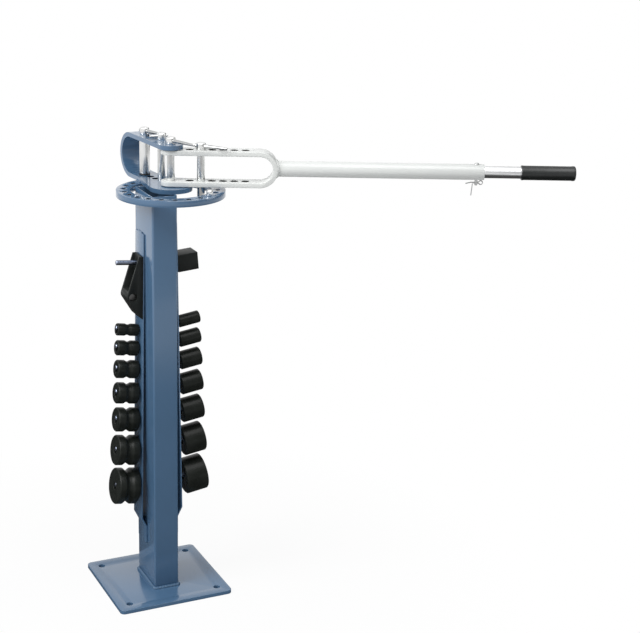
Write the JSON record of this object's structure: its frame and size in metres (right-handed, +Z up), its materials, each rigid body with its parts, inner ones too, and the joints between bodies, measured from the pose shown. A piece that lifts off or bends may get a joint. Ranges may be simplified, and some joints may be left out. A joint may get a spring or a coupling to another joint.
{
  "type": "pedestal hand bender",
  "caption": "Pedestal hand bender: a forked lever swings over an index ring and U-frame with lift-out pins, above a column with bending dies hung on side racks.",
  "frame": {"origin": "middle of the foot plate's underside, which is the middle of its bolt pattern", "axes": "+Z up along the column; +X to the right, from the grooved dies to the plain dies; +Y to the back, towards the frame's bend"},
  "size_m": [0.9049, 0.5377, 0.967],
  "materials": {
    "blue_paint": "gloss",
    "white_paint": "gloss",
    "bright_steel": "satin",
    "black_oxide": "oiled black oxide",
    "black_rubber": "matte"
  },
  "bodies": {
    "stand": {"base_plate": "blue_paint", "foot_weld": "blue_paint", "column": "blue_paint", "ring_welds": "blue_paint", "index_ring": "blue_paint", "u_frame": "blue_paint", "left_strip": "blue_paint", "right_strip": "blue_paint", "left_pegs": "bright_steel", "right_pegs": "bright_steel"},
    "lever": {"fork": "white_paint", "handle_tube": "white_paint", "inner_handle": "bright_steel", "grip": "black_rubber", "hitch_pin": "bright_steel", "split_pin": "bright_steel"},
    "forming_set": {"forming_pin": "bright_steel", "forming_bar": "bright_steel"},
    "pivot_set": {"pivot_pin": "bright_steel", "pivot_bar": "bright_steel"},
    "second_set": {"second_pin": "bright_steel", "second_bar": "bright_steel"},
    "rear_set": {"rear_pin": "bright_steel", "rear_bar": "bright_steel"},
    "roller_sleeve": {"pin_sleeve": "bright_steel", "rubber_ring": "black_rubber"},
    "stop": {"stop_pin": "bright_steel"},
    "channel_tool": {"channel_block": "black_oxide"},
    "square_tool": {"square_block": "black_oxide"},
    "grooved_tool_1": {"grooved_die_1": "black_oxide"},
    "grooved_tool_2": {"grooved_die_2": "black_oxide"},
    "grooved_tool_3": {"grooved_die_3": "black_oxide"},
    "grooved_tool_4": {"grooved_die_4": "black_oxide"},
    "grooved_tool_5": {"grooved_die_5": "black_oxide"},
    "grooved_tool_6": {"grooved_die_6": "black_oxide"},
    "grooved_tool_7": {"grooved_die_7": "black_oxide"},
    "plain_tool_1": {"plain_die_1": "black_oxide"},
    "plain_tool_2": {"plain_die_2": "black_oxide"},
    "plain_tool_3": {"plain_die_3": "black_oxide"},
    "plain_tool_4": {"plain_die_4": "black_oxide"},
    "plain_tool_5": {"plain_die_5": "black_oxide"},
    "plain_tool_6": {"plain_die_6": "black_oxide"},
    "plain_tool_7": {"plain_die_7": "black_oxide"}
  },
  "joints": [
    {"name": "lever_swing", "type": "hinge", "parent": "stand", "child": "lever", "pos_m": [0.032, 0, 0.906], "axis": [0, 0, 1], "range_deg": [-15, 66]},
    {"name": "forming_lift", "type": "slide", "parent": "lever", "child": "forming_set", "axis": [0, 0, 1], "range_m": [0, 0.105]},
    {"name": "pivot_lift", "type": "slide", "parent": "stand", "child": "pivot_set", "axis": [0, 0, 1], "range_m": [0, 0.105]},
    {"name": "second_lift", "type": "slide", "parent": "stand", "child": "second_set", "axis": [0, 0, 1], "range_m": [0, 0.105]},
    {"name": "rear_lift", "type": "slide", "parent": "stand", "child": "rear_set", "axis": [0, 0, 1], "range_m": [0, 0.105]},
    {"name": "sleeve_spin", "type": "hinge", "parent": "stand", "child": "roller_sleeve", "pos_m": [0.0171, 0.11511, 0.906], "axis": [0, 0, 1], "continuous": true},
    {"name": "stop_lift", "type": "slide", "parent": "stand", "child": "stop", "axis": [0, 0, 1], "range_m": [0, 0.03]},
    {"name": "channel_unhook", "type": "slide", "parent": "stand", "child": "channel_tool", "axis": [-0.9962, 0, 0.0872], "range_m": [0, 0.055]},
    {"name": "square_unhook", "type": "slide", "parent": "stand", "child": "square_tool", "axis": [0.9962, 0, 0.0872], "range_m": [0, 0.055]},
    {"name": "grooved_1_unhook", "type": "slide", "parent": "stand", "child": "grooved_tool_1", "axis": [-0.989, 0, 0.1478], "range_m": [0, 0.055]},
    {"name": "grooved_2_unhook", "type": "slide", "parent": "stand", "child": "grooved_tool_2", "axis": [-0.989, 0, 0.1478], "range_m": [0, 0.055]},
    {"name": "grooved_3_unhook", "type": "slide", "parent": "stand", "child": "grooved_tool_3", "axis": [-0.989, 0, 0.1478], "range_m": [0, 0.055]},
    {"name": "grooved_4_unhook", "type": "slide", "parent": "stand", "child": "grooved_tool_4", "axis": [-0.989, 0, 0.1478], "range_m": [0, 0.055]},
    {"name": "grooved_5_unhook", "type": "slide", "parent": "stand", "child": "grooved_tool_5", "axis": [-0.989, 0, 0.1478], "range_m": [0, 0.055]},
    {"name": "grooved_6_unhook", "type": "slide", "parent": "stand", "child": "grooved_tool_6", "axis": [-0.989, 0, 0.1478], "range_m": [0, 0.055]},
    {"name": "grooved_7_unhook", "type": "slide", "parent": "stand", "child": "grooved_tool_7", "axis": [-0.989, 0, 0.1478], "range_m": [0, 0.055]},
    {"name": "plain_1_unhook", "type": "slide", "parent": "stand", "child": "plain_tool_1", "axis": [0.989, 0, 0.1478], "range_m": [0, 0.055]},
    {"name": "plain_2_unhook", "type": "slide", "parent": "stand", "child": "plain_tool_2", "axis": [0.989, 0, 0.1478], "range_m": [0, 0.055]},
    {"name": "plain_3_unhook", "type": "slide", "parent": "stand", "child": "plain_tool_3", "axis": [0.989, 0, 0.1478], "range_m": [0, 0.055]},
    {"name": "plain_4_unhook", "type": "slide", "parent": "stand", "child": "plain_tool_4", "axis": [0.989, 0, 0.1478], "range_m": [0, 0.055]},
    {"name": "plain_5_unhook", "type": "slide", "parent": "stand", "child": "plain_tool_5", "axis": [0.989, 0, 0.1478], "range_m": [0, 0.055]},
    {"name": "plain_6_unhook", "type": "slide", "parent": "stand", "child": "plain_tool_6", "axis": [0.989, 0, 0.1478], "range_m": [0, 0.055]},
    {"name": "plain_7_unhook", "type": "slide", "parent": "stand", "child": "plain_tool_7", "axis": [0.989, 0, 0.1478], "range_m": [0, 0.055]}
  ]
}
